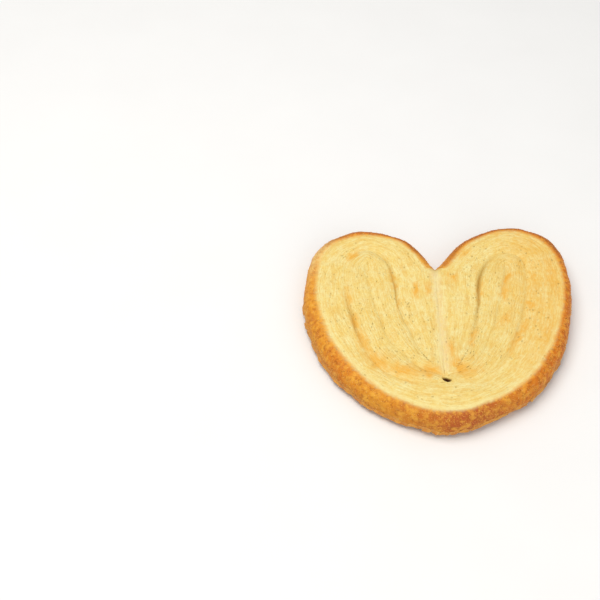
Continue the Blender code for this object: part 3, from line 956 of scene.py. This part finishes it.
def outer_wall(along, turn, out):
    """Points at a distance out from the browned wall.  along is the place along the ply, and
    turn runs from -1 under the wall through 0 at the waist to 1 at the face; between them the
    wall is the quarter ellipses of sheet().  out is measured along their normal above the
    waist and level below it."""
    table = wall_columns()
    x, y, inward_x, inward_y, reach = (np.interp(along, table[:, 0], column)
                                       for column in table[:, 1:].T)
    angle = np.abs(turn) * np.pi / 2.0
    above = turn > 0.0
    reach = np.where(above, reach, UNDERSIDE_EDGE)
    tall = np.where(above, FACE_HEIGHT - WAIST_HEIGHT, WAIST_HEIGHT)
    inset = reach * (1.0 - np.cos(angle))
    x, y = x + inward_x * inset, y + inward_y * inset
    z = WAIST_HEIGHT + np.sign(turn) * tall * np.sin(angle)
    z = z + face_wave(x, y) * np.sin(angle) * above
    skin = np.broadcast_to(1.0 - np.abs(turn), x.shape)
    on_wall = crag(np.stack([x, y, z], axis=-1).reshape(-1, 3), skin.ravel(),
                   np.broadcast_to(along, x.shape).ravel())
    sideways, upward = np.cos(angle) / reach, above * np.sin(angle) / tall
    size = np.hypot(sideways, upward)
    normal = np.stack([-inward_x * sideways / size, -inward_y * sideways / size, upward / size],
                      axis=-1)
    return on_wall.reshape(x.shape + (3,)) + normal * np.broadcast_to(out, x.shape)[..., None]


def flake_shapes():
    """Each scale is a flattened ball over an angle round its rim and one from its outside to
    its inside, drawn out to a point at both ends.  Two sine waves make its rim ragged, the
    lower a place on it is, the further it stands off the wall, and it ripples a little along
    the wall.  With the points comes how near each is to the rim: the sixth power of the sine
    of the angle from outside to inside."""
    rng = np.random.default_rng(51)
    first, last, share, stand = np.array(FLAKED_STRETCHES).T
    stretch = rng.choice(len(share), FLAKE_COUNT, p=share)
    place = first[stretch] + (last - first)[stretch] * rng.uniform(0.0, 1.0, FLAKE_COUNT)
    lift = rng.uniform(*FLAKE_LIFT, FLAKE_COUNT) * stand[stretch]
    level = rng.uniform(*FLAKE_LEVEL, FLAKE_COUNT)
    half_length = rng.uniform(*FLAKE_HALF_LENGTH, FLAKE_COUNT)
    half_height = rng.uniform(*FLAKE_HALF_HEIGHT, FLAKE_COUNT)
    shift = rng.uniform(0.0, 100.0, FLAKE_COUNT)
    place, lift, level, half_length, half_height, shift = (
        values[:, None, None] for values in (place, lift, level, half_length, half_height, shift))

    over = np.linspace(0.0, np.pi, FLAKE_GRID[0])[None, :, None]
    rim = np.linspace(0.0, 2.0 * np.pi, FLAKE_GRID[1])[None, None, :]
    reach = np.sin(over) * (1.0 + 0.16 * np.sin(3.0 * rim + shift)
                            + 0.10 * np.sin(7.0 * rim - shift))
    sideways = reach * np.cos(rim)
    upward = reach * np.sin(rim) * np.abs(np.sin(rim)) ** 0.6
    along = place + half_length * sideways
    turn = level + half_height * upward / LOWER_WALL
    out = (FLAKE_STAND + lift * smooth((0.9 - upward) / 1.8) ** 1.5
           + FLAKE_THICKNESS / 2.0 * np.cos(over) + FLAKE_RIPPLE * np.sin(1.7 * along + shift))
    near_rim = np.broadcast_to(np.sin(over) ** 6, along.shape)
    return outer_wall(along, turn, out).reshape(-1, 3), near_rim.ravel()


def flake_material():
    """Gold and brown in clouds, with paler grains and a painted highlight along each leaf's rim.
    """
    material, shader, wires = new_material("loose_leaf")
    place = millimetres(wires)
    grain = place.noise(0.6, 3.0, 0.7)
    colour = place.noise(4.0, 3.0).ramp(0.35, 0.65).mix(FLAKE_GOLD, FLAKE_BROWN)
    # FLAKE_PALE over the grains, and as a painted highlight along the rim of each leaf.
    colour = layered(colour, [(grain.ramp(0.45, 0.75) * 0.4, FLAKE_PALE),
                              (attribute(wires, "edge") * 0.55, FLAKE_PALE)])
    colour.feed(shader, "Base Color")
    (0.5 + grain * 0.3).feed(shader, "Roughness")
    (grain * 0.1).bump().feed(shader, "Normal")
    return material


def crust_flakes():
    """All the loose leaves as one piece, each welded into a closed scale."""
    points, near_rim = flake_shapes()
    columns, rows = FLAKE_GRID
    quads = np.concatenate([grid_quads(columns, rows, number * columns * rows, True)
                            for number in range(FLAKE_COUNT)])
    first, number = weld(points, 5)
    corners = number[quads]
    kept = corners != np.roll(corners, -1, axis=1)
    mesh = new_mesh("crust_flakes", points[first], corners, kept)
    set_attribute(mesh, "edge", near_rim[first])
    new_piece("crust_flakes", mesh, flake_material())


crust_flakes()


# Sugar.  The strip was rolled in coarse sugar; the grains that did not melt stay stuck to the
# browned skin as small dull crystals, half sunk in the caramel.
GRAIN_COUNT = 2600
GRAIN_HALF_SIZE = (0.07, 0.18)
GRAIN_LEVEL = (-0.45, 0.90)
GRAIN_STAND = 0.04
SUGARED_WALL = 195.0
GRAIN_CLEAR = (0.80, 0.45, 0.10)
GRAIN_AMBER = (0.64, 0.25, 0.035)

# The corners of a box, and those of each of its sides, seen from outside.
BOX_CORNERS = [(x, y, z) for x in (-1.0, 1.0) for y in (-1.0, 1.0) for z in (-1.0, 1.0)]
BOX_SIDES = [(0, 1, 3, 2), (4, 6, 7, 5), (0, 4, 5, 1), (2, 3, 7, 6), (0, 2, 6, 4), (1, 5, 7, 3)]


def sugar_shapes():
    """Boxes of seeded size, each turned by a seeded unit quaternion and set on the wall."""
    rng = np.random.default_rng(61)
    along = rng.uniform(-SUGARED_WALL, SUGARED_WALL, GRAIN_COUNT)
    turn = rng.uniform(*GRAIN_LEVEL, GRAIN_COUNT)
    box = np.array(BOX_CORNERS) * rng.uniform(*GRAIN_HALF_SIZE, (GRAIN_COUNT, 1, 3))
    spin = rng.normal(size=(GRAIN_COUNT, 4))
    spin /= np.linalg.norm(spin, axis=1)[:, None]
    scalar, vector = spin[:, :1, None], spin[:, None, 1:]
    cross = np.cross(vector, box)
    box = box + 2.0 * scalar * cross + 2.0 * np.cross(vector, cross)
    return outer_wall(along, turn, GRAIN_STAND)[:, None, :] + box


def sugar_material():
    """Clear to amber in clouds, and the more amber a grain is, the duller."""
    material, shader, wires = new_material("caramelised_sugar")
    tint = millimetres(wires).noise(1.5, 2.0)
    tint.ramp(0.35, 0.65).mix(GRAIN_CLEAR, GRAIN_AMBER).feed(shader, "Base Color")
    (0.25 + tint * 0.3).feed(shader, "Roughness")
    return material


def sugar_crystals():
    """All the grains as one piece with flat sides."""
    points = sugar_shapes().reshape(-1, 3)
    first_corner = len(BOX_CORNERS) * np.arange(GRAIN_COUNT)[:, None, None]
    corners = (np.array(BOX_SIDES) + first_corner).reshape(-1, 4)
    mesh = new_mesh("sugar_crystals", points, corners, np.ones(corners.shape, bool))
    mesh.polygons.foreach_set("use_smooth", np.zeros(len(corners), bool))
    new_piece("sugar_crystals", mesh, sugar_material())


sugar_crystals()


# The floor: a pale matt table top with faint clouds, here only to show the palmier on.
TABLE_HALF = 1.5
TABLE_GREY = (0.80, 0.79, 0.77)
TABLE_WHITE = (0.84, 0.83, 0.81)


def floor():
    half = TABLE_HALF
    mesh = bpy.data.meshes.new("table_top")
    mesh.from_pydata([(-half, -half, 0.0), (half, -half, 0.0), (half, half, 0.0),
                      (-half, half, 0.0)], [], [(0, 1, 2, 3)])
    material, shader, wires = new_material("pale_table")
    cloud = wires.add("TexCoord", output=3).noise(0.05, 3.0)
    cloud.mix(TABLE_GREY, TABLE_WHITE).feed(shader, "Base Color")
    shader.inputs["Roughness"].default_value = 0.6
    mesh.materials.append(material)
    table = bpy.data.objects.new("table_top", mesh)
    bpy.context.collection.objects.link(table)


floor()


# Studio light: a soft box above the palmier and a little to its left, a larger fill from the
# front, low and to the right, and a pale room.  Each lamp: name, place, size, power, colour.
LAMPS = (
    ("soft_box", (-0.30, 0.05, 0.95), 0.7, 7.2, (1.0, 0.98, 0.95)),
    ("fill", (0.35, -0.9, 0.5), 0.9, 3.4, (1.0, 0.97, 0.93)),
)
ROOM_COLOUR = (0.95, 0.97, 1.0, 1.0)
ROOM_STRENGTH = 0.55


def area_light(name, place, size, power, colour):
    """A square lamp that faces the origin."""
    lamp = bpy.data.lights.new(name, "AREA")
    lamp.shape = "SQUARE"
    lamp.size = size
    lamp.energy = power
    lamp.color = colour
    light = bpy.data.objects.new(name, lamp)
    x, y, z = place
    light.location = place
    light.rotation_euler = (math.atan2(math.hypot(x, y), z), 0.0, math.atan2(y, x) + math.pi / 2)
    bpy.context.collection.objects.link(light)


def studio():
    for lamp in LAMPS:
        area_light(*lamp)
    world = bpy.data.worlds.new("studio")
    world.use_nodes = True
    background = world.node_tree.nodes["Background"]
    background.inputs["Color"].default_value = ROOM_COLOUR
    background.inputs["Strength"].default_value = ROOM_STRENGTH
    bpy.context.scene.world = world
    bpy.context.scene.view_settings.view_transform = "Standard"


studio()


# The camera looks down 48 degrees at the table from the left of the palmier, which so lies right
# of the middle of the picture.  Its tilt is in degrees from straight down.
CAMERA_PLACE = (-0.07607, -0.39881, 0.46945)
CAMERA_TILT = 42.0
CAMERA_TURN = -0.0076
LENS = 70.75
SENSOR_WIDTH = 36.0


def camera():
    lens = bpy.data.cameras.new("camera")
    lens.lens = LENS
    lens.sensor_width = SENSOR_WIDTH
    lens.clip_start = 0.01
    eye = bpy.data.objects.new("camera", lens)
    eye.location = CAMERA_PLACE
    eye.rotation_euler = (math.radians(CAMERA_TILT), 0.0, CAMERA_TURN)
    bpy.context.collection.objects.link(eye)
    bpy.context.scene.camera = eye


camera()
